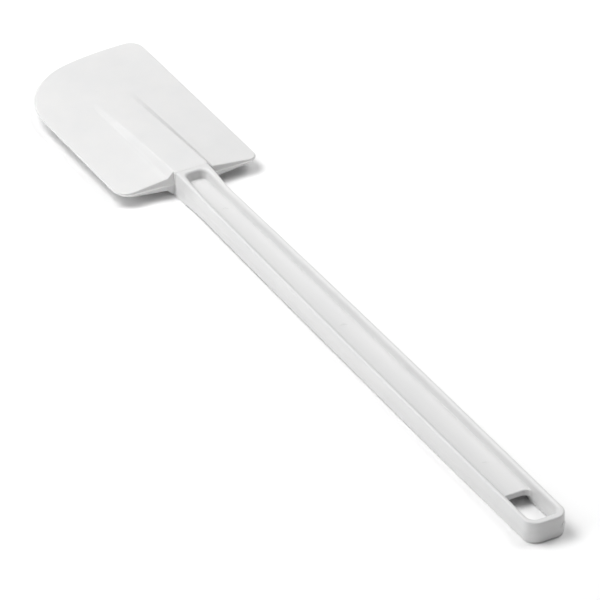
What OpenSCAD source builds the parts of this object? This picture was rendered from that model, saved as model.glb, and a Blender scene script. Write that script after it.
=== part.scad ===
// Long-handled bowl scraper: a rigid H-section handle whose tang is buried in a flexible,
// overmoulded blade. Two mouldings, bonded for life.
//
// Frame: X across the blade, +Y from the butt towards the blade's tip, +Z up.
// The origin is at the middle of the length and width, level with the underside of the neck.
// The modules below measure y from the butt's end face and z from the parting plane at mid
// height; placed() moves them into the frame.

/* [Overall] */
// Length of the whole tool, from the butt to the blade's tip
total_len = 419; // [400:1:440]

/* [Handle] */
// Width of the grip over its parallel part
grip_w = 19; // [17:0.5:22]
// Height of the grip
grip_h = 10.2; // [8:0.2:11]
// Length of the parallel part, from the butt
parallel_len = 60; // [30:5:120]
// Width of the waist, the narrowest place, just behind the neck
waist_w = 15.8; // [14:0.2:17]
// Width of the neck, where the handle meets the blade
neck_w = 16.6; // [16:0.2:18]
// Height of the neck, flush with the blade's spine
neck_h = 12.6; // [12:0.2:14]
// Length of the neck that has its full height
neck_len = 4; // [3:0.5:6]
// Length of the ramp from the neck's height down to the grip's
ramp_len = 18.5; // [12:0.5:26]
// Radius of the butt's corners, seen from above
butt_r = 6; // [3:0.5:7]
// Thickness of the two side rails
rail_t = 2.7; // [1.8:0.1:3]
// Thickness of the web between the two channels
web_t = 3; // [2:0.1:3.6]
// Thickness of the wall that closes the channels at the butt
butt_wall_t = 3.9; // [2:0.1:4.5]
// Thickness of the wall that closes the channels at the neck
neck_wall_t = 2.4; // [2:0.1:4]
// Radius in the corners of the channels
channel_r = 3.4; // [1.5:0.1:4]
// Length of the hang slot through the web
slot_len = 23.1; // [15:0.1:30]

/* [Tang, hidden inside the blade] */
// Length of the tang, from the seam
tang_len = 50; // [46:1:52]
// Width of the tang at its root
tang_w = 12.6; // [11:0.2:13]
// Width of the tang at its tip
tang_tip_w = 9; // [8:0.2:10]
// Thickness of the tang
tang_t = 3.6; // [2.4:0.2:3.8]
// Diameter of the key holes that the blade's material fills
key_d = 5.5; // [4:0.5:6]
// Number of key holes
key_count = 3; // [1:1:3]
// Spacing of the key holes
key_pitch = 14; // [12:1:15]

/* [Blade] */
// Length of the blade, from its rear shoulders to the tip
blade_len = 116.7; // [105:0.1:130]
// Width of the blade
blade_w = 69.8; // [60:0.1:80]
// Thickness of the blade at its edge
edge_t = 1; // [0.8:0.1:1.6]
// Thickness of the wedge at the centre line, at the rear shoulders
root_t = 9; // [7:0.2:10]
// Radius of the big corner at the tip
big_r = 42; // [30:1:45]
// Radius of the small corner at the tip
small_r = 6; // [3:0.5:9]
// Radius of the gently crowned far edge
crown_r = 140; // [120:5:200]
// Radius of the rear corner below the big corner
rear_r = 7; // [4:0.5:10]
// Radius of the rear corner below the small corner
rear_small_r = 5; // [3:0.5:10]
// Length of the collar of blade material behind the shoulders
collar_len = 1.6; // [1:0.1:3]
// Length of the raised spine, from the rear shoulders
spine_len = 76; // [60:1:85]
// Radius of the hollow where the spine meets the wings
spine_r = 3.4; // [1.5:0.1:4]

/* [Hidden] */

$fn = 64;
over = 1;                                  // how far a cutting shape runs past what it cuts
shoulder_y = total_len - blade_len;        // rear shoulders of the blade
seam_y = shoulder_y - collar_len;          // face where the handle's neck meets the blade
ramp_top_y = seam_y - neck_len;            // where the neck's full height ends
ramp_foot_y = ramp_top_y - ramp_len;       // where the grip's height begins
flare_len = 10;                            // length over which the waist widens to the neck
waist_y = ramp_top_y - flare_len - 3;      // the narrowest place of the handle
side_steps = 24;                           // straight steps in each bowed side
channel_front_y = seam_y - neck_wall_t;
slot_end_y = butt_wall_t + slot_len;
key_y0 = 11;                               // first key hole, from the seam

// Bow of the handle's sides: the half width shrinks with the square of the distance
// beyond the parallel part and reaches the waist's width at waist_y.
side_bow = (grip_w - waist_w) / 2 / pow(waist_y - parallel_len, 2);

// A smooth step from 0 to 1
function ease(t) =
    let (u = min(max(t, 0), 1)) u * u * (3 - 2 * u);

// Half width of the bowed sides at y, and of the handle with its flare to the neck
function bowed_half(y) = grip_w / 2 - side_bow * pow(max(y - parallel_len, 0), 2);
function half_width(y) =
    let (flare = ease((y - waist_y) / flare_len))
    bowed_half(y) * (1 - flare) + neck_w / 2 * flare;

// Places along a side, between two ends
function side_ys(y0, y1) = [for (i = [0 : side_steps]) y0 + (y1 - y0) * i / side_steps];

// A quarter of a circle about [cx, cy], from angle a to angle b
function arc(cx, cy, r, a, b, n = 12) =
    [for (i = [0 : n]) let (t = a + (b - a) * i / n) [cx + r * cos(t), cy + r * sin(t)]];

// The same points on the left side, in the order that closes an outline
function mirrored(points) =
    [for (i = [len(points) - 1 : -1 : 0]) [-points[i][0], points[i][1]]];

module placed() {
    translate([0, -total_len / 2, neck_h / 2])
        children();
}

// ---------------------------------------------------------------- handle

// Outline of the handle from above, up to the seam
module handle_outline() {
    right = concat(
        arc(grip_w / 2 - butt_r, butt_r, butt_r, -90, 0),
        [for (y = side_ys(butt_r + over, seam_y)) [half_width(y), y]]);
    polygon(concat(right, mirrored(right)));
}

// Outline of a channel, between the two end walls. It follows the bowed sides and doesn't
// flare, so the rails grow thicker at the neck.
module channel_outline() {
    half_back = bowed_half(butt_wall_t) - rail_t;
    half_front = bowed_half(channel_front_y) - rail_t;
    back_y = butt_wall_t + channel_r;
    front_y = channel_front_y - channel_r;
    right = concat(
        arc(half_back - channel_r, back_y, channel_r, -90, 0),
        [for (y = side_ys(back_y + over, front_y - over)) [bowed_half(y) - rail_t, y]],
        arc(half_front - channel_r, front_y, channel_r, 0, 90));
    polygon(concat(right, mirrored(right)));
}

// The handle seen from the side: grip, ramp and neck, alike above and below
module handle_side_profile() {
    upper = [
        [0, grip_h / 2],
        [ramp_foot_y, grip_h / 2],
        [ramp_top_y, neck_h / 2],
        [seam_y, neck_h / 2]];
    lower = [for (i = [len(upper) - 1 : -1 : 0]) [upper[i][0], -upper[i][1]]];
    polygon(concat(upper, lower));
}

// The outer shape of the handle without its channels
module handle_block() {
    intersection() {
        translate([0, 0, -neck_h / 2])
            linear_extrude(neck_h)
                handle_outline();
        rotate([90, 0, 90])
            translate([0, 0, -grip_w])
                linear_extrude(2 * grip_w)
                    handle_side_profile();
    }
}

// One channel, cut from the web's face outwards; side is 1 above and -1 below
module channel(side) {
    depth = neck_h / 2 + over - web_t / 2;
    translate([0, 0, side > 0 ? web_t / 2 : -web_t / 2 - depth])
        linear_extrude(depth)
            channel_outline();
}

// The hang slot: the butt end of the channel outline, cut through the web
module hang_slot() {
    intersection() {
        translate([0, 0, -web_t])
            linear_extrude(2 * web_t)
                channel_outline();
        translate([-grip_w, 0, -web_t])
            cube([2 * grip_w, slot_end_y, 2 * web_t]);
    }
}

// Outline of the tang from above, from inside the neck's end wall to its rounded tip
module tang_outline() {
    tip_r = 2;
    tip_y = seam_y + tang_len;
    right = concat(
        [[tang_w / 2, seam_y - over]],
        arc(tang_tip_w / 2 - tip_r, tip_y - tip_r, tip_r, 0, 90));
    polygon(concat(right, mirrored(right)));
}

// The key holes through the tang, and the posts of blade material that fill them
module key_posts(height) {
    for (i = [0 : key_count - 1])
        translate([0, seam_y + key_y0 + i * key_pitch, -height / 2])
            cylinder(d = key_d, h = height);
}

module tang() {
    difference() {
        translate([0, 0, -tang_t / 2])
            linear_extrude(tang_t)
                tang_outline();
        key_posts(tang_t + 2 * over);
    }
}

module handle() {
    color("whitesmoke")
        placed()
            union() {
                difference() {
                    handle_block();
                    channel(1);
                    channel(-1);
                    hang_slot();
                }
                tang();
            }
}

// ---------------------------------------------------------------- blade

half_w = blade_w / 2;
side_x = neck_w / 2;                       // wall of the spine
tip_y = total_len;
apex_y = tip_y + 0.02;                     // the outline's arcs meet here, and the tip is cut flat
crown_x = half_w - small_r;                // the crown's highest place, where the small corner starts
crown_cy = apex_y - crown_r;               // centre of the crowned far edge
small_cy = apex_y - small_r;               // centre of the small corner
big_cx = big_r - half_w;                   // centre of the big corner
big_cy = crown_cy + sqrt(pow(crown_r - big_r, 2) - pow(crown_x - big_cx, 2));
// The big corner runs into the crown here
big_end_y = crown_cy + (big_cy - crown_cy) * crown_r / (crown_r - big_r);
spine_end_y = shoulder_y + spine_len;
draft = 0.2;                               // how far the spine's wall leans out at its foot
hollow_steps = 4;                          // straight steps round the hollow

// Distance from a circle's centre line to its edge, dy along from its centre
function chord(r, dy) = sqrt(max(r * r - dy * dy, 0));

// Left and right ends of the blade at y
function left_x(y) =
    y < shoulder_y + rear_r ? rear_r - half_w - chord(rear_r, shoulder_y + rear_r - y) :
    y < big_cy ? -half_w :
    y < big_end_y ? big_cx - chord(big_r, y - big_cy) :
    crown_x - chord(crown_r, y - crown_cy);

function right_x(y) =
    y < shoulder_y + rear_small_r ?
        half_w - rear_small_r + chord(rear_small_r, shoulder_y + rear_small_r - y) :
    y < small_cy ? half_w :
    crown_x + chord(small_r, y - small_cy);

// Half thickness of the wedge at x, y: it falls evenly to the sides and to the tip
function wing_z(x, y) =
    let (across = 1 - abs(x) / half_w)
    let (along = 1 - (y - shoulder_y) / blade_len)
    edge_t / 2 + (root_t - edge_t) / 2 * across * along;

// Half height of the spine: flush with the neck at the shoulders, then falling faster and
// faster until it meets the wings
function spine_z(y) =
    let (run = min((y - shoulder_y) / spine_len, 1))
    let (rise = neck_h / 2 - wing_z(side_x, shoulder_y))
    wing_z(side_x, y) + rise * (1 - 0.45 * run - 0.55 * run * run);

// Half height of the blade's surface at x, y, with the hollow that joins spine and wing
function surface_z(x, y) =
    let (out = max(abs(x) - side_x - draft, 0))
    let (hollow = out < spine_r ? spine_r - sqrt(pow(spine_r, 2) - pow(spine_r - out, 2)) : 0)
    let (join_z = min(wing_z(x, y) + hollow, spine_z(y)))
    max(wing_z(x, y), abs(x) <= side_x ? spine_z(y) : join_z);

// Distances from the centre line of the points across one half of a section: the edge of
// the spine's top, then steps round the hollow
half_xs = concat([side_x],
    [for (i = [0 : hollow_steps]) side_x + draft + spine_r * (1 - cos(90 * i / hollow_steps))]);
inner_xs = concat([for (i = [len(half_xs) - 1 : -1 : 0]) -half_xs[i]], half_xs);

// The points of a section keep their places along the spine, and past its end they
// spread evenly between the two sides of the narrowing tip.
function section_x(i, y) =
    let (spread = ease((y - spine_end_y) / (big_end_y - 8 - spine_end_y)))
    let (even = left_x(y) + (right_x(y) - left_x(y)) * (i + 1) / (len(inner_xs) + 1))
    inner_xs[i] * (1 - spread) + even * spread;

function section_xs(y) = concat(
    [left_x(y)], [for (i = [0 : len(inner_xs) - 1]) section_x(i, y)], [right_x(y)]);

// A whole ring at y: over the top from left to right, and back underneath
function ring(y) =
    let (xs = section_xs(y))
    concat(
        [for (x = xs) [x, y, surface_z(x, y)]],
        [for (i = [len(xs) - 1 : -1 : 0]) [xs[i], y, -surface_z(xs[i], y)]]);

// Places of the rings: round the rear corners, along the spine, then round the tip
ring_ys = concat(
    [for (a = [0 : 22.5 : 90]) shoulder_y + rear_r * (1 - cos(a))],
    [for (i = [1 : 12]) shoulder_y + rear_r + (spine_len - rear_r) * i / 12],
    [for (a = [15 : 12.5 : 90]) spine_end_y + (small_cy - spine_end_y) * sin(a)],
    [for (a = [15 : 15 : 75]) small_cy + small_r * sin(a)],
    [tip_y]);

// The whole outside of the blade as one closed surface. The section at the shoulders is
// closed by a left and a right face, with the collar standing out between them.
module blade_block() {
    rings = [for (y = ring_ys) ring(y)];
    n = len(rings[0]);
    half = n / 2;
    last = len(rings) - 1;
    collar = [for (side = [[-1, 1], [1, 1], [1, -1], [-1, -1]])
        [side[0] * side_x, seam_y, side[1] * neck_h / 2]];
    k = len(half_xs);                      // a ring's point at the spine's upper left edge
    corners = [k, k + 1, n - 1 - (k + 1), n - 1 - k];
    c0 = (last + 1) * n;                   // first point of the collar
    walls = [for (j = [0 : last - 1]) for (i = [0 : n - 1])
        let (a = j * n + i)
        let (b = j * n + (i + 1) % n)
        each [[b, a, a + n], [b, a + n, b + n]]];
    collar_walls = [for (i = [0 : 3]) let (m = (i + 1) % 4)
        each [[c0 + m, c0 + i, corners[i]], [c0 + m, corners[i], corners[m]]]];
    // Strips from a ring's point i to the next, closing the ring between its two surfaces
    left_face = [for (i = [0 : k - 1]) [i, i + 1, n - 2 - i, n - 1 - i]];
    right_face = [for (i = [k + 1 : half - 2]) [i, i + 1, n - 2 - i, n - 1 - i]];
    tip_face = [for (i = [0 : half - 2])
        [last * n + n - 1 - i, last * n + n - 2 - i, last * n + i + 1, last * n + i]];
    collar_face = [[c0, c0 + 1, c0 + 2, c0 + 3]];
    polyhedron(concat([for (r = rings) each r], collar),
        concat(walls, collar_walls, left_face, right_face, tip_face, collar_face),
        convexity = 6);
}

module blade() {
    color("white")
        placed()
            difference() {
                blade_block();
                tang();
            }
}

handle();
blade();
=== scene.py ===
"""Looks of a long-handled bowl scraper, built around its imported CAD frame.

Shapes are worked out in millimetres: x across, y from the butt's end face, z from the parting
plane at mid height. Skin.build() moves them into the frame, in metres.
"""
import math

import bmesh
import bpy
from mathutils import Matrix, Vector


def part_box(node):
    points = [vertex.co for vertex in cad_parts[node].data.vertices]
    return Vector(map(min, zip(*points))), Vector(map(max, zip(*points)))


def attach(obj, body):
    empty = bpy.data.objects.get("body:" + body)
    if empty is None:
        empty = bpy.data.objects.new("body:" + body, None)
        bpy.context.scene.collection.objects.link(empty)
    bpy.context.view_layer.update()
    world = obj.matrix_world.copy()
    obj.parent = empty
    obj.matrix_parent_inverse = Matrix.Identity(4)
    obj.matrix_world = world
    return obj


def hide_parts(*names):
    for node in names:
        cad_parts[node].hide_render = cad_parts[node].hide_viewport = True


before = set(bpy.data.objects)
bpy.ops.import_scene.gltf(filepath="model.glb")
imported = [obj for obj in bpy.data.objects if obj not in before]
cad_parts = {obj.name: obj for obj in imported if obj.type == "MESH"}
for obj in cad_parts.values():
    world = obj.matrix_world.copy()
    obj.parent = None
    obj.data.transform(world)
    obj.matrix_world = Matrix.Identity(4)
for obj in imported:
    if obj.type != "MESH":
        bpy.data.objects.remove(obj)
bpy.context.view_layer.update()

MM = 0.001
MERGE_DIST = 0.002 * MM
SHARP_DEG = 50              # edges sharper than this stay crisp

# ------------------------------------------------------------------ sizes from the frame

handle_lo, handle_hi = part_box("handle")
blade_lo, blade_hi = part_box("blade")
BUTT_Y_M = handle_lo.y
MID_Z_M = (blade_lo.z + blade_hi.z) / 2

GRIP_HALF_W = handle_hi.x / MM
NECK_HALF_H = (blade_hi.z - MID_Z_M) / MM
SEAM_Y = (blade_lo.y - BUTT_Y_M) / MM
TANG_END_Y = (handle_hi.y - BUTT_Y_M) / MM
TIP_Y = (blade_hi.y - BUTT_Y_M) / MM
BLADE_HALF_W = blade_hi.x / MM

# ------------------------------------------------------------------ sizes of the handle, mm

GRIP_HALF_H = 5.1
PARALLEL_LEN = 60.0
WAIST_HALF_W = 7.9
NECK_HALF_W = 8.3
NECK_LEN = 4.0
RAMP_LEN = 18.5
RAMP_FOOT_BLEND = 5.0       # half lengths of the blends at the ramp's foot and top
RAMP_TOP_BLEND = 0.9
FLARE_LEN = 10.0
FLARE_GAP = 3.0             # from the end of the flare to the top of the ramp
BUTT_R = 6.0
RAIL_T = 2.7
WEB_HALF_T = 1.5
BUTT_WALL_T = 3.9
NECK_WALL_T = 2.4
CHANNEL_R = 3.4
SLOT_LEN = 23.1

RAMP_TOP_Y = SEAM_Y - NECK_LEN
RAMP_FOOT_Y = RAMP_TOP_Y - RAMP_LEN
WAIST_Y = RAMP_TOP_Y - FLARE_LEN - FLARE_GAP
CHANNEL_FRONT_Y = SEAM_Y - NECK_WALL_T
SLOT_END_Y = BUTT_WALL_T + SLOT_LEN

RIM_OUTER_R = 0.8           # rounding of the rim's outer edge
RIM_INNER_R = 1.7           # rounding of the rim's inner edge, which makes the rails domed
FLOOR_R = 0.5               # hollow between a rail and the web
OUTER_DRAFT = 0.1           # how far the outer walls lean in by the rim
INNER_DRAFT = 0.25          # how far the channel narrows down to the web
FLASH = 0.1                 # how proud the parting line stands
FLASH_HALF_H = 0.2
SEAM_ROUND = 0.15           # rounding of the edges that meet at the seam
SEAM_CORNER_R = 0.3
WEB_END_R = 0.9             # rounding of the web's edge at the slot
SLOT_CORNER_R = 3.0         # corners of the slot, seen from above
WEB_BEND_LEN = 9.0          # length over which the web's rows straighten out
GATE_R = 1.4                # trimmed stub of the gate on the butt's corner
GATE_PROUD = 0.15
GATE_DEPTH = 1.6
GATE_FLARE = 0.3            # how much wider the stub is at its root
GATE_WAY = (0.7, -1, 0)     # which way the stub points
PIN_YS = (50.0, 165.5, 270.0)   # dents that ejector pins leave on the web
PIN_R = 1.6
PIN_DEPTH = 0.1
PIN_CUTTER_LEN = 1.0

# ------------------------------------------------------------------ sizes of the tang, mm

TANG_HALF_T = 1.8
TANG_ROOT_HALF_W = 6.3
TANG_TIP_HALF_W = 4.5
TANG_TIP_R = 2.0
TANG_BURIED = 1.0           # how far the tang reaches into the neck's end wall
KEY_R = 2.75
KEY_FIRST = 11.0
KEY_PITCH = 14.0
KEY_COUNT = 3

# ------------------------------------------------------------------ sizes of the blade, mm

COLLAR_LEN = 1.6
BLADE_LEN = TIP_Y - SEAM_Y - COLLAR_LEN
SHOULDER_Y = SEAM_Y + COLLAR_LEN
EDGE_HALF_T = 0.5
ROOT_HALF_T = 4.5
BIG_R = 42.0
SMALL_R = 6.0
CROWN_R = 140.0
REAR_LEFT_R = 7.0
REAR_RIGHT_R = 5.0
SPINE_HALF_W = NECK_HALF_W
SPINE_LEN = 76.0
SPINE_FALL = (0.45, 0.55)   # shares of the spine's fall that are straight and curved
WING_SOFT = 0.8             # how softly the wing's slope starts beside the spine's root
WING_SOFT_GAIN = 5.0        # how much softer it starts by the spine's end
SPINE_WALL_W = 3.0          # width of the spine's slanted walls, seen from above
SPINE_BLEND = 0.5           # half length of the blends at a wall's top and foot
BLADE_DRAFT = 0.2           # lean of the blade's walls, out to the parting line
BLADE_EDGE_R = 0.45         # rounding of the blade's edge all round
COLLAR_EDGE_R = 0.8
BLADE_FLASH = 0.45
BLADE_FLASH_HALF_H = 0.3

# Centres of the arcs at the blade's tip
CROWN_X = BLADE_HALF_W - SMALL_R
CROWN_CY = TIP_Y - CROWN_R
SMALL_CY = TIP_Y - SMALL_R
BIG_CX = BIG_R - BLADE_HALF_W
BIG_CY = CROWN_CY + math.sqrt((CROWN_R - BIG_R) ** 2 - (CROWN_X - BIG_CX) ** 2)
REAR_LEFT_CX = REAR_LEFT_R - BLADE_HALF_W
REAR_RIGHT_CX = BLADE_HALF_W - REAR_RIGHT_R


# ------------------------------------------------------------------ small helpers


def ease(t):
    """A smooth step from 0 to 1."""
    u = min(max(t, 0.0), 1.0)
    return u * u * (3 - 2 * u)


def soft_ramp(t, width):
    """0 before -width, t after +width, and a parabola that joins them between."""
    if t <= -width:
        return 0.0
    if t >= width:
        return t
    return (t + width) ** 2 / (4 * width)


def spread(a, b, steps):
    """Evenly spaced values from a to b, both included."""
    return [a + (b - a) * i / steps for i in range(steps + 1)]


def arc(cx, cy, r, start, end, steps):
    """Points on a circle from angle start to angle end, in degrees."""
    angles = [math.radians(a) for a in spread(start, end, steps)]
    return [(cx + r * math.cos(a), cy + r * math.sin(a)) for a in angles]


class Skin:
    """The upper half of a piece that is the same above and below its parting plane."""

    def __init__(self):
        self.points = []
        self.faces = []

    def row(self, points):
        """Adds points and returns their numbers."""
        first = len(self.points)
        self.points += points
        return list(range(first, len(self.points)))

    def bridge(self, a, b, closed=False):
        """Quads between two rows of the same length."""
        count = len(a) if closed else len(a) - 1
        for i in range(count):
            j = (i + 1) % len(a)
            self.faces.append((a[i], a[j], b[j], b[i]))

    def build(self, name):
        """The whole piece as an object in the frame, its lower half mirrored from its upper."""
        bm = bmesh.new()
        for side in (1, -1):
            verts = [bm.verts.new(in_frame(x, y, side * z)) for x, y, z in self.points]
            for face in self.faces:
                bm.faces.new([verts[i] for i in face])
        bmesh.ops.remove_doubles(bm, verts=bm.verts, dist=MERGE_DIST)
        bmesh.ops.recalc_face_normals(bm, faces=bm.faces)
        return new_object(name, bm)


def in_frame(x, y, z):
    """A place given in millimetres from the butt and the parting plane, in the frame."""
    return Vector((x * MM, BUTT_Y_M + y * MM, MID_Z_M + z * MM))


def new_object(name, bm):
    mesh = bpy.data.meshes.new(name)
    bm.to_mesh(mesh)
    bm.free()
    obj = bpy.data.objects.new(name, mesh)
    bpy.context.scene.collection.objects.link(obj)
    return obj


def cut_or_join(obj, other, operation):
    """Applies one exact boolean to obj and keeps other."""
    mod = obj.modifiers.new(operation.lower(), "BOOLEAN")
    mod.operation = operation
    mod.solver = "EXACT"
    mod.object = other
    evaluated = obj.evaluated_get(bpy.context.evaluated_depsgraph_get())
    mesh = bpy.data.meshes.new_from_object(evaluated)
    obj.modifiers.clear()
    old = obj.data
    obj.data = mesh
    bpy.data.meshes.remove(old)


def shade(obj, sharp_deg):
    """Smooth shading that breaks at edges sharper than sharp_deg and leaves flat faces flat."""
    obj.data.shade_smooth()
    obj.data.set_sharp_from_angle(angle=math.radians(sharp_deg))
    weighted = obj.modifiers.new("weighted_normals", "WEIGHTED_NORMAL")
    weighted.keep_sharp = True


# ------------------------------------------------------------------ handle

BUTT_STEPS = 4              # straight steps in half the butt's face
CORNER_STEPS = 8            # steps round each corner
FRONT_STEPS = 6             # steps in half the channel's front wall
START_STEPS = 3
END_STEPS = 9
START_Y = 10.0              # between START_Y and END_Y all loops share their places
END_Y = 291.0
SLOT_SIDE_Y = SLOT_END_Y - SLOT_CORNER_R
SHARED_Y = (
    spread(START_Y, SLOT_SIDE_Y, 5)
    + spread(SLOT_SIDE_Y + 0.6, SLOT_SIDE_Y + WEB_BEND_LEN, 10)
    + spread(40.0, 260.0, 22)
    + spread(266.0, END_Y, 12)
)


def bowed_half(y):
    """Half width of the bowed sides, which narrow towards the waist and on past it."""
    bow = (GRIP_HALF_W - WAIST_HALF_W) / (WAIST_Y - PARALLEL_LEN) ** 2
    return GRIP_HALF_W - bow * max(y - PARALLEL_LEN, 0) ** 2


def half_width(y):
    """Half width of the handle, which flares from the waist to the neck."""
    flare = ease((y - WAIST_Y) / FLARE_LEN)
    return bowed_half(y) * (1 - flare) + NECK_HALF_W * flare


def rim_z(y):
    """Height of the rim: the grip, the ramp and the neck."""
    slope = (NECK_HALF_H - GRIP_HALF_H) / RAMP_LEN
    foot = soft_ramp(y - RAMP_FOOT_Y, RAMP_FOOT_BLEND)
    top = soft_ramp(y - RAMP_TOP_Y, RAMP_TOP_BLEND)
    return GRIP_HALF_H + slope * (foot - top)


def plan_loop(side, inset, butt_cy, butt_r, front_cy, front_r):
    """A closed outline seen from above, from the middle of the butt round the right side.

    side(y) is the half width that the outline follows, and inset the distance in from it.
    The corners are given by how far along their centres lie and by their radii.
    """
    butt_cx = side(butt_cy) - inset - butt_r
    front_cx = side(front_cy) - inset - front_r
    side_ys = (
        spread(butt_cy, START_Y, START_STEPS)[1:-1]
        + SHARED_Y
        + spread(END_Y, front_cy, END_STEPS)[1:-1]
    )
    right = (
        [(x, butt_cy - butt_r) for x in spread(0, butt_cx, BUTT_STEPS)[:-1]]
        + arc(butt_cx, butt_cy, butt_r, -90, 0, CORNER_STEPS)
        + [(side(y) - inset, y) for y in side_ys]
        + arc(front_cx, front_cy, front_r, 0, 90, CORNER_STEPS)
        + [(x, front_cy + front_r) for x in spread(front_cx, 0, FRONT_STEPS)[1:]]
    )
    return right + [(-x, y) for x, y in right[-2:0:-1]]


def outer_loop(inset, front_inset):
    return plan_loop(
        half_width, inset,
        BUTT_R, BUTT_R - inset,
        SEAM_Y - front_inset - SEAM_CORNER_R, SEAM_CORNER_R,
    )


def inner_loop(inset):
    """A loop in the channel, which doesn't flare, so the rails grow thicker at the neck."""
    r = CHANNEL_R - (inset - RAIL_T)
    return plan_loop(bowed_half, inset, BUTT_WALL_T + CHANNEL_R, r, CHANNEL_FRONT_Y - CHANNEL_R, r)


# Numbers of points in a loop's right half, and of the one where the slot ends
HALF_LOOP = BUTT_STEPS + CORNER_STEPS + START_STEPS - 1 + len(SHARED_Y) + END_STEPS - 1
HALF_LOOP += CORNER_STEPS + 1 + FRONT_STEPS
SLOT_END_I = BUTT_STEPS + CORNER_STEPS + START_STEPS + 5
ARC_END_I = HALF_LOOP - FRONT_STEPS

WALL_FOOT_INSET = RAIL_T + INNER_DRAFT
WALL_FOOT_X = GRIP_HALF_W - WALL_FOOT_INSET


def slot_curve_y(x):
    """Where the web ends at the slot: straight across, turning along the rails at its corners."""
    into_corner = max(abs(x) - (WALL_FOOT_X - SLOT_CORNER_R), 0)
    into_corner = min(into_corner, SLOT_CORNER_R)
    return SLOT_END_Y - SLOT_CORNER_R + math.sqrt(SLOT_CORNER_R ** 2 - into_corner ** 2)


def slot_round(x):
    """How much of the web's rounded edge is there: none at the rails, all in the middle."""
    return ease((WALL_FOOT_X - abs(x)) / (1.2 * SLOT_CORNER_R))


def web_y(x, y):
    """A row of the web follows the slot's edge, and rows further on straighten out."""
    reach = slot_curve_y(x) + WEB_END_R * slot_round(x) - SLOT_SIDE_Y
    return y + reach * max(0, 1 - (y - SLOT_SIDE_Y) / WEB_BEND_LEN)


def handle_rings(skin):
    """Rings from the parting line up the outer wall, over the rim and down to the hollow."""
    rings = []

    def ring(plan, height):
        rings.append(skin.row([(x, y, height(rim_z(y))) for x, y in plan]))

    ring(outer_loop(-FLASH, 0), lambda top: 0)
    ring(outer_loop(0, 0), lambda top: FLASH_HALF_H)
    ring(outer_loop(OUTER_DRAFT * 0.5, 0), lambda top: top * 0.5)
    for a in spread(0, math.pi / 2, 5):
        plan = outer_loop(OUTER_DRAFT + RIM_OUTER_R * (1 - math.cos(a)), SEAM_ROUND * (1 - math.cos(a)))
        ring(plan, lambda top: top - RIM_OUTER_R * (1 - math.sin(a)))
    for a in spread(0, math.pi / 2, 7):
        plan = inner_loop(RAIL_T - RIM_INNER_R * (1 - math.sin(a)))
        ring(plan, lambda top: top - RIM_INNER_R * (1 - math.cos(a)))
    ring(inner_loop(WALL_FOOT_INSET), lambda top: WEB_HALF_T + FLOOR_R)
    for a, b in zip(rings, rings[1:]):
        skin.bridge(a, b, closed=True)
    return rings[-1]


def web(skin, wall_foot):
    """The hollow along the rails and the flat of the web, from the slot to the front wall."""
    web_i = range(SLOT_END_I, 2 * HALF_LOOP - SLOT_END_I + 1)
    rows = [[wall_foot[i] for i in web_i]]
    for a in spread(0, math.pi / 2, 5)[1:]:
        plan = inner_loop(WALL_FOOT_INSET + FLOOR_R * (1 - math.cos(a)))
        z = WEB_HALF_T + FLOOR_R * (1 - math.sin(a))
        rows.append(skin.row([(plan[i][0], web_y(*plan[i]), z) for i in web_i]))
    for a, b in zip(rows, rows[1:]):
        skin.bridge(a, b)
    edge = rows[-1]
    previous = None
    for k in range(ARC_END_I - SLOT_END_I):
        right, left = edge[k], edge[-1 - k]
        half = skin.points[right][0]
        y = plan[SLOT_END_I + k][1]
        xs = spread(half, -half, 2 * FRONT_STEPS)[1:-1]
        row = [right] + skin.row([(x, web_y(x, y), WEB_HALF_T) for x in xs]) + [left]
        if previous:
            skin.bridge(previous, row)
        else:
            first = row
        previous = row
    k = ARC_END_I - SLOT_END_I
    front = edge[k:len(edge) - k]
    skin.bridge(previous, front)
    return [row[0] for row in rows[:-1]] + first + [row[-1] for row in rows[-2::-1]]


def slot(skin, wall_foot, web_edge):
    """The slot's walls down to the parting plane, and the web's rounded end."""
    steps = 5
    round_steps = 3
    top = WEB_HALF_T + FLOOR_R
    inside = [wall_foot[i] for i in range(-SLOT_END_I, SLOT_END_I + 1)]
    walls = [inside]
    for k in range(1, steps + 1):
        z = top * (1 - k / steps)
        walls.append(skin.row([(*skin.points[i][:2], z) for i in inside]))
    for a, b in zip(walls, walls[1:]):
        skin.bridge(a, b)
    ends = [web_edge]
    for k in range(1, steps + 1):
        turn = math.radians(min(90 / round_steps * k, 90))
        fall = WEB_END_R * (1 - math.cos(turn))
        row = []
        for i in web_edge:
            x, _, z = skin.points[i]
            full = slot_round(x)
            below = (z - WEB_END_R) * (steps - k) / (steps - round_steps)
            rounded = z - fall if k <= round_steps else below
            even = z * (1 - k / steps)
            y = slot_curve_y(x) + full * WEB_END_R * (1 - math.sin(turn))
            row.append((x, y, even + (rounded - even) * full))
        numbers = skin.row(row[1:-1])
        ends.append([walls[k][-1]] + numbers + [walls[k][0]])
    for a, b in zip(ends, ends[1:]):
        skin.bridge(a, b)


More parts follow.
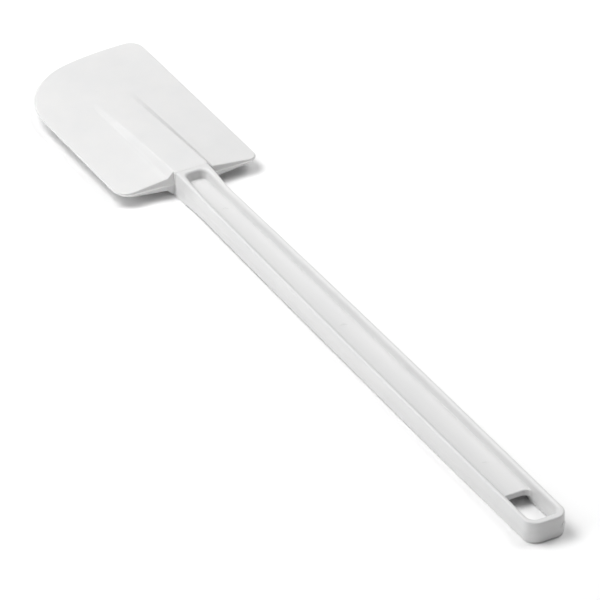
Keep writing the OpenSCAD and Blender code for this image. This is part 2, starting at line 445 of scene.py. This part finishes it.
def tang(name):
    """The tang with its key holes, both for the handle and to cut the blade's cavity."""
    bm = bmesh.new()
    tip_cy = TANG_END_Y - TANG_TIP_R
    right = [(TANG_ROOT_HALF_W, SEAM_Y - TANG_BURIED)]
    right += arc(TANG_TIP_HALF_W - TANG_TIP_R, tip_cy, TANG_TIP_R, 0, 90, 6)
    outline = right + [(-x, y) for x, y in reversed(right)]
    lower = [bm.verts.new(in_frame(x, y, -TANG_HALF_T)) for x, y in outline]
    upper = [bm.verts.new(in_frame(x, y, TANG_HALF_T)) for x, y in outline]
    bm.faces.new(upper)
    bm.faces.new(lower[::-1])
    for i in range(len(outline)):
        j = (i + 1) % len(outline)
        bm.faces.new((lower[i], lower[j], upper[j], upper[i]))
    obj = new_object(name, bm)
    for i in range(KEY_COUNT):
        key = bmesh.new()
        place = Matrix.Translation(in_frame(0, SEAM_Y + KEY_FIRST + i * KEY_PITCH, 0))
        bmesh.ops.create_cone(
            key, cap_ends=True, segments=32, radius1=KEY_R * MM, radius2=KEY_R * MM,
            depth=4 * TANG_HALF_T * MM, matrix=place)
        hole = new_object("key_hole", key)
        cut_or_join(obj, hole, "DIFFERENCE")
        bpy.data.objects.remove(hole)
    return obj


def pin_mark(obj, y, side):
    """The shallow round mark that an ejector pin leaves on the web, above or below."""
    middle = side * (WEB_HALF_T + PIN_CUTTER_LEN / 2 - PIN_DEPTH)
    pin = bmesh.new()
    bmesh.ops.create_cone(
        pin, cap_ends=True, segments=32, radius1=PIN_R * MM, radius2=PIN_R * MM,
        depth=PIN_CUTTER_LEN * MM, matrix=Matrix.Translation(in_frame(0, y, middle)))
    cutter = new_object("pin", pin)
    cut_or_join(obj, cutter, "DIFFERENCE")
    bpy.data.objects.remove(cutter)


def add_gate(obj):
    """The trimmed stub of the gate, on the butt's right corner at the parting plane."""
    out = Vector(GATE_WAY).normalized()
    corner = Vector((GRIP_HALF_W - BUTT_R, BUTT_R, 0)) + out * BUTT_R
    stub = bmesh.new()
    turn = out.to_track_quat("Z", "Y").to_matrix().to_4x4()
    place = Matrix.Translation(in_frame(*(corner + out * (GATE_PROUD - GATE_DEPTH / 2)))) @ turn
    bmesh.ops.create_cone(
        stub, cap_ends=True, segments=28, radius1=(GATE_R + GATE_FLARE) * MM, radius2=GATE_R * MM,
        depth=GATE_DEPTH * MM, matrix=place)
    gate = new_object("gate", stub)
    cut_or_join(obj, gate, "UNION")
    bpy.data.objects.remove(gate)


def make_handle():
    skin = Skin()
    wall_foot = handle_rings(skin)
    web_edge = web(skin, wall_foot)
    slot(skin, wall_foot, web_edge)
    obj = skin.build("handle_moulding")
    root = tang("tang")
    cut_or_join(obj, root, "UNION")
    bpy.data.objects.remove(root)
    add_gate(obj)
    for y in PIN_YS:
        for side in (1, -1):
            pin_mark(obj, y, side)
    shade(obj, SHARP_DEG)
    return obj


# ------------------------------------------------------------------ blade

# Places across the spine's slanted wall, from the neck's side
SPINE_EDGE_STEPS = (
    -1.2, -0.8, -0.65, -0.5, -0.3, -0.15, 0, 0.25, 0.5,
    1.0, 1.6, 2.2, 2.5, 2.75, 3.0, 3.25, 3.5, 4.2,
)
SPINE_TOP_STEPS = (0, 2.3, 4.6, 6.2)
BLADE_ROWS = 62
COLLAR_ROWS = 3


def front_arc(x, inset):
    """Centre and radius of the tip's arc over x, inset from the outline."""
    join_x = CROWN_X + (BIG_CX - CROWN_X) * (CROWN_R - inset) / (CROWN_R - BIG_R)
    if x < join_x:
        return BIG_CX, BIG_CY, BIG_R - inset
    if x < CROWN_X:
        return CROWN_X, CROWN_CY, CROWN_R - inset
    return CROWN_X, SMALL_CY, SMALL_R - inset


def rear_arc(x, inset):
    """Centre and radius of the rear corner under x, or None where the shoulder is straight."""
    if x < REAR_LEFT_CX:
        return REAR_LEFT_CX, SHOULDER_Y + REAR_LEFT_R, REAR_LEFT_R - inset
    if x > REAR_RIGHT_CX:
        return REAR_RIGHT_CX, SHOULDER_Y + REAR_RIGHT_R, REAR_RIGHT_R - inset
    return None


def front_y(x, inset):
    cx, cy, r = front_arc(x, inset)
    return cy + math.sqrt(max(r * r - (x - cx) ** 2, 0))


def rear_y(x, inset):
    found = rear_arc(x, inset)
    if not found:
        return SHOULDER_Y + inset
    cx, cy, r = found
    return cy - math.sqrt(max(r * r - (x - cx) ** 2, 0))


def wedge_z(reach, y):
    """Half thickness of the wedge at a distance from the centre line."""
    across = 1 - reach / BLADE_HALF_W
    along = 1 - (max(y, SHOULDER_Y) - SHOULDER_Y) / BLADE_LEN
    return EDGE_HALF_T + (ROOT_HALF_T - EDGE_HALF_T) * across * along


def spine_rise(y):
    """How far the spine's top stands above the wings beside it."""
    run = min(max((y - SHOULDER_Y) / SPINE_LEN, 0), 1)
    straight, curved = SPINE_FALL
    root_rise = NECK_HALF_H - wedge_z(SPINE_HALF_W, SHOULDER_Y)
    return root_rise * (1 - straight * run - curved * run * run)


def spine_profile(s, rise):
    """Height over the wing at s beyond the neck's side: a slanted wall, blended at both ends."""
    fallen = soft_ramp(s, SPINE_BLEND) - soft_ramp(s - SPINE_WALL_W, SPINE_BLEND)
    return rise * (1 - fallen / SPINE_WALL_W)


def collar_profile(s, rise):
    """The collar's edge is a plain quarter round."""
    into = max(s + COLLAR_EDGE_R, 0)
    return rise - COLLAR_EDGE_R + math.sqrt(max(COLLAR_EDGE_R ** 2 - into ** 2, 0))


def blade_z(x, y):
    """Half height of the blade's surface."""
    s = abs(x) - SPINE_HALF_W
    softness = WING_SOFT + WING_SOFT_GAIN * ease((y - SHOULDER_Y) / SPINE_LEN)
    reach = SPINE_HALF_W + (s + math.sqrt(s * s + softness ** 2)) / 2
    rise = spine_rise(y)
    height = spine_profile(s, rise)
    if y < SHOULDER_Y:
        part = (SHOULDER_Y - y) / COLLAR_LEN
        height += (collar_profile(s, rise) - height) * ease(part)
    return wedge_z(reach, y) + height


def blade_columns(inset):
    """Places of the columns, closer together round the corners and over the spine's edges."""
    spine = [SPINE_HALF_W + s for s in SPINE_EDGE_STEPS]
    left_end = BLADE_HALF_W - inset
    turn = math.acos(1 - (left_end - spine[-1]) / (BIG_R - inset))
    left = [-left_end + (BIG_R - inset) * (1 - math.cos(a)) for a in spread(0, turn, 15)[:-1]]
    right = spread(spine[-1], CROWN_X, 8)[1:-1]
    corner = [CROWN_X + (SMALL_R - inset) * math.sin(a) for a in spread(0, math.pi / 2, 9)]
    middle = [-x for x in reversed(spine)]
    middle += [-x for x in reversed(SPINE_TOP_STEPS[1:])] + list(SPINE_TOP_STEPS) + spine
    return left + middle + right + corner


def make_blade():
    skin = Skin()
    xs = blade_columns(BLADE_EDGE_R)
    rows = []
    for v in spread(0, 1, BLADE_ROWS):
        row = []
        for x in xs:
            back, front = rear_y(x, BLADE_EDGE_R), front_y(x, BLADE_EDGE_R)
            y = back + (front - back) * v
            row.append((x, y, blade_z(x, y)))
        rows.append(skin.row(row))
    for a, b in zip(rows, rows[1:]):
        skin.bridge(a, b)

    # The collar carries the spine's columns back to the seam
    c0 = min(range(len(xs)), key=lambda i: abs(xs[i] + SPINE_HALF_W))
    c1 = min(range(len(xs)), key=lambda i: abs(xs[i] - SPINE_HALF_W))
    collar = [rows[0][c0:c1 + 1]]
    for y in spread(SHOULDER_Y, SEAM_Y + SEAM_ROUND, COLLAR_ROWS)[1:]:
        collar.append(skin.row([(x, y, blade_z(x, y)) for x in xs[c0:c1 + 1]]))
    for a, b in zip(collar, collar[1:]):
        skin.bridge(a, b)

    # Round the outline: a point of the surface, which way is out, and the rounding there
    rim = []

    def outward(i, centre):
        x, y, _ = skin.points[i]
        return Vector((x - centre[0], y - centre[1])).normalized() * BLADE_EDGE_R

    def add(i, out, r):
        rim.append((i, Vector(out), r))

    straight_back = (0, -BLADE_EDGE_R)
    for i in rows[0][:c0 + 1]:
        arc_here = rear_arc(skin.points[i][0], BLADE_EDGE_R)
        add(i, outward(i, arc_here) if arc_here else straight_back, BLADE_EDGE_R)
    for row in collar[1:-1]:
        add(row[0], (0, 0), 0)
    for i in collar[-1]:
        add(i, (0, -SEAM_ROUND), SEAM_ROUND)
    for row in collar[-2:0:-1]:
        add(row[-1], (0, 0), 0)
    for i in rows[0][c1:]:
        arc_here = rear_arc(skin.points[i][0], BLADE_EDGE_R)
        add(i, outward(i, arc_here) if arc_here else straight_back, BLADE_EDGE_R)
    for row in rows[1:-1]:
        add(row[-1], (BLADE_EDGE_R, 0), BLADE_EDGE_R)
    for i in reversed(rows[-1]):
        add(i, outward(i, front_arc(skin.points[i][0], BLADE_EDGE_R)), BLADE_EDGE_R)
    for row in rows[-2:0:-1]:
        add(row[0], (-BLADE_EDGE_R, 0), BLADE_EDGE_R)

    rings = [[i for i, _, _ in rim]]
    for a in spread(0, math.pi / 2, 4)[1:]:
        ring = []
        for i, out, r in rim:
            x, y, z = skin.points[i]
            drop = min(r, 0.85 * z) * (1 - math.cos(a))
            ring.append((x + out.x * math.sin(a), y + out.y * math.sin(a), z - drop))
        rings.append(skin.row(ring))
    wall_top = rings[-1]
    wall_heights = (
        (lambda z: 0.66 * z, 0),
        (lambda z: 0.33 * z, 0),
        (lambda z: min(BLADE_FLASH_HALF_H, 0.3 * z), 0),
        (lambda z: 0, BLADE_FLASH),
    )
    for height_at, flash in wall_heights:
        ring = []
        for (_, out, r), i in zip(rim, wall_top):
            x, y, z = skin.points[i]
            way = out.normalized() if out.length else out
            height = height_at(z)
            proud = 0
            if r > SEAM_ROUND:
                proud = flash + BLADE_DRAFT * max(z - height - BLADE_EDGE_R, 0)
            ring.append((x + way.x * proud, y + way.y * proud, height))
        rings.append(skin.row(ring))
    for a, b in zip(rings, rings[1:]):
        skin.bridge(a, b, closed=True)
    obj = skin.build("blade_moulding")
    cavity = tang("tang_cavity")
    cut_or_join(obj, cavity, "DIFFERENCE")
    bpy.data.objects.remove(cavity)
    shade(obj, SHARP_DEG)
    return obj


# ------------------------------------------------------------------ materials


class Nodes:
    """A material's node tree, with short ways to add to it."""

    def __init__(self, name):
        self.material = bpy.data.materials.new(name)
        self.material.use_nodes = True
        self.tree = self.material.node_tree
        self.shader = self.tree.nodes["Principled BSDF"]
        self.place = self.tree.nodes.new("ShaderNodeTexCoord").outputs["Object"]

    def add(self, kind, **inputs):
        node = self.tree.nodes.new(kind)
        for key, value in inputs.items():
            node.inputs[key.replace("_", " ")].default_value = value
        return node

    def link(self, a, b):
        self.tree.links.new(a, b)

    def noise(self, feature_mm, detail=3.0, stretch=(1, 1, 1)):
        """Noise whose blotches are about feature_mm across, drawn out along an axis by stretch."""
        mapping = self.add("ShaderNodeMapping", Scale=tuple(1 / s for s in stretch))
        texture = self.add("ShaderNodeTexNoise", Scale=1 / (feature_mm * MM), Detail=detail)
        self.link(self.place, mapping.inputs["Vector"])
        self.link(mapping.outputs["Vector"], texture.inputs["Vector"])
        return texture.outputs["Fac"]

    def ramp(self, factor, low, high, start=0.3, end=0.7):
        """Turns a factor into a colour or value that runs from low to high."""
        ramp = self.add("ShaderNodeMapRange")
        for key, value in zip(("From Min", "From Max", "To Min", "To Max"), (start, end, low, high)):
            ramp.inputs[key].default_value = value
        self.link(factor, ramp.inputs["Value"])
        return ramp.outputs["Result"]

    def mix(self, factor, a, b):
        mix = self.tree.nodes.new("ShaderNodeMix")
        mix.data_type = "RGBA"
        self.link(factor, mix.inputs["Factor"])
        for socket, value in ((mix.inputs[6], a), (mix.inputs[7], b)):
            if isinstance(value, tuple):
                socket.default_value = value
            else:
                self.link(value, socket)
        return mix.outputs[2]

    def bump(self, height, strength, distance_mm, normal=None):
        bump = self.add("ShaderNodeBump", Strength=strength, Distance=distance_mm * MM)
        self.link(height, bump.inputs["Height"])
        if normal:
            self.link(normal, bump.inputs["Normal"])
        return bump.outputs["Normal"]


def rgb(value, warm=0.0):
    """A near-white of the given value; warm leans it to yellow."""
    return (value * (1 + warm), value, value * (1 - warm), 1.0)


def handle_plastic():
    """Semi-gloss moulded plastic: faint flow marks, an orange-peel skin and convex edges painted
    lighter as a highlight.
    """
    n = Nodes("handle_plastic")
    flow = n.noise(9.0, stretch=(1, 6, 1))
    colour = n.mix(n.ramp(flow, 0, 1), rgb(0.685, -0.002), rgb(0.71, 0.002))
    # Painted highlight: convex edges get a lighter base colour, as if light caught them.
    painted_edge_highlight = n.ramp(n.add("ShaderNodeNewGeometry").outputs["Pointiness"], 0, 0.35, 0.5, 0.6)
    n.link(n.mix(painted_edge_highlight, colour, rgb(0.74, 0.004)), n.shader.inputs["Base Color"])
    scuffs = n.noise(1.4, detail=5.0, stretch=(1, 12, 1))
    n.link(n.ramp(scuffs, 0.3, 0.42), n.shader.inputs["Roughness"])
    peel = n.bump(n.noise(1.1, detail=2.0), 0.25, 0.02)
    n.link(n.bump(n.noise(12.0, detail=1.0), 0.3, 0.08, peel), n.shader.inputs["Normal"])
    n.shader.inputs["IOR"].default_value = 1.49
    return n.material


def blade_elastomer():
    """Matte elastomer with a fine moulded grain, slightly soft to light."""
    n = Nodes("blade_elastomer")
    cloud = n.noise(14.0, detail=2.0)
    colour = n.mix(n.ramp(cloud, 0, 1), rgb(0.69, -0.001), rgb(0.71, 0.003))
    n.link(colour, n.shader.inputs["Base Color"])
    grain = n.noise(0.9, detail=4.0)
    n.link(n.ramp(grain, 0.5, 0.62), n.shader.inputs["Roughness"])
    fine = n.bump(grain, 0.6, 0.06)
    n.link(n.bump(n.noise(16.0, detail=1.0), 0.3, 0.1, fine), n.shader.inputs["Normal"])
    n.shader.inputs["IOR"].default_value = 1.45
    n.shader.inputs["Subsurface Weight"].default_value = 0.25
    n.shader.inputs["Subsurface Radius"].default_value = (1.0, 0.95, 0.9)
    n.shader.inputs["Subsurface Scale"].default_value = 3.0 * MM
    return n.material


def floor_paper():
    n = Nodes("floor_paper")
    tone = n.ramp(n.noise(60.0), 0, 1)
    n.link(n.mix(tone, rgb(0.96), rgb(0.97)), n.shader.inputs["Base Color"])
    n.link(n.bump(n.noise(0.8), 0.1, 0.02), n.shader.inputs["Normal"])
    n.shader.inputs["Roughness"].default_value = 0.9
    return n.material


def paint(obj, material):
    obj.data.materials.clear()
    obj.data.materials.append(material)


# ------------------------------------------------------------------ stage, light and camera

# The tool rests on the neck's underside and on the butt's lower edge, so the floor leans a
# little against the frame.
REST_NECK = in_frame(0, RAMP_TOP_Y + 2.0, -NECK_HALF_H)
REST_BUTT = in_frame(0, BUTT_R, -GRIP_HALF_H)
FLOOR_HALF = 3.0
FLOOR_GAP = 0.02 * MM


def make_floor():
    bm = bmesh.new()
    bmesh.ops.create_grid(bm, x_segments=8, y_segments=8, size=FLOOR_HALF)
    floor = new_object("floor", bm)
    along = REST_NECK - REST_BUTT
    floor.rotation_euler = (math.atan2(along.z, along.y), 0, 0)
    floor.location = REST_NECK - Vector((0, 0, FLOOR_GAP))
    paint(floor, floor_paper())


SOFT_BOX_SIZE = 0.9
SOFT_BOX_REACH = 1.5
WORLD_STRENGTH = 0.05


def soft_box(name, turn, height, watts):
    """A square area light aimed at the origin, turn and height in degrees."""
    data = bpy.data.lights.new(name, "AREA")
    data.shape = "SQUARE"
    data.size = SOFT_BOX_SIZE
    data.energy = watts
    turn, height = math.radians(turn), math.radians(height)
    flat = math.cos(height)
    away = Vector((math.sin(turn) * flat, math.cos(turn) * flat, math.sin(height)))
    obj = bpy.data.objects.new(name, data)
    obj.location = away * SOFT_BOX_REACH
    obj.rotation_euler = (-away).to_track_quat("-Z", "Y").to_euler()
    bpy.context.scene.collection.objects.link(obj)


def make_lights():
    """Three soft boxes and a little light from all round. Turns run from +Y towards +X."""
    soft_box("key", turn=-45, height=60, watts=17.5)
    soft_box("right", turn=90, height=60, watts=10.8)
    soft_box("left", turn=-90, height=30, watts=7.0)
    world = bpy.data.worlds.new("studio")
    world.use_nodes = True
    world.node_tree.nodes["Background"].inputs["Color"].default_value = (1, 1, 1, 1)
    world.node_tree.nodes["Background"].inputs["Strength"].default_value = WORLD_STRENGTH
    bpy.context.scene.world = world


CAMERA_YAW = math.radians(29.90)        # view direction, from +Y towards +X
CAMERA_DOWN = math.radians(33.51)
CAMERA_ROLL = math.radians(0.62)
CAMERA_AIM = Vector((-5.5, -15.6, 6.3)) * MM
CAMERA_DISTANCE = 2.2241
CAMERA_LENS = 312.0


def make_camera():
    data = bpy.data.cameras.new("camera")
    data.sensor_width = 36.0
    data.lens = CAMERA_LENS
    data.clip_end = 50.0
    cam = bpy.data.objects.new("camera", data)
    flat = math.cos(CAMERA_DOWN)
    forward = Vector((math.sin(CAMERA_YAW) * flat, math.cos(CAMERA_YAW) * flat, -math.sin(CAMERA_DOWN)))
    level = forward.cross(Vector((0, 0, 1))).normalized()
    upright = level.cross(forward)
    right = math.cos(CAMERA_ROLL) * level + math.sin(CAMERA_ROLL) * upright
    up = -math.sin(CAMERA_ROLL) * level + math.cos(CAMERA_ROLL) * upright
    turn = Matrix((right, up, -forward)).transposed()
    cam.matrix_world = Matrix.Translation(CAMERA_AIM - forward * CAMERA_DISTANCE) @ turn.to_4x4()
    bpy.context.scene.collection.objects.link(cam)
    bpy.context.scene.camera = cam


def plain_colours():
    """White stays white: no filmic curve."""
    view = bpy.context.scene.view_settings
    view.view_transform = "Standard"
    view.look = "None"


# ------------------------------------------------------------------ the scene

make_camera()
plain_colours()
make_floor()
make_lights()

handle = make_handle()
paint(handle, handle_plastic())
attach(handle, "root")
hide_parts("handle")

blade = make_blade()
paint(blade, blade_elastomer())
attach(blade, "root")
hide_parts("blade")
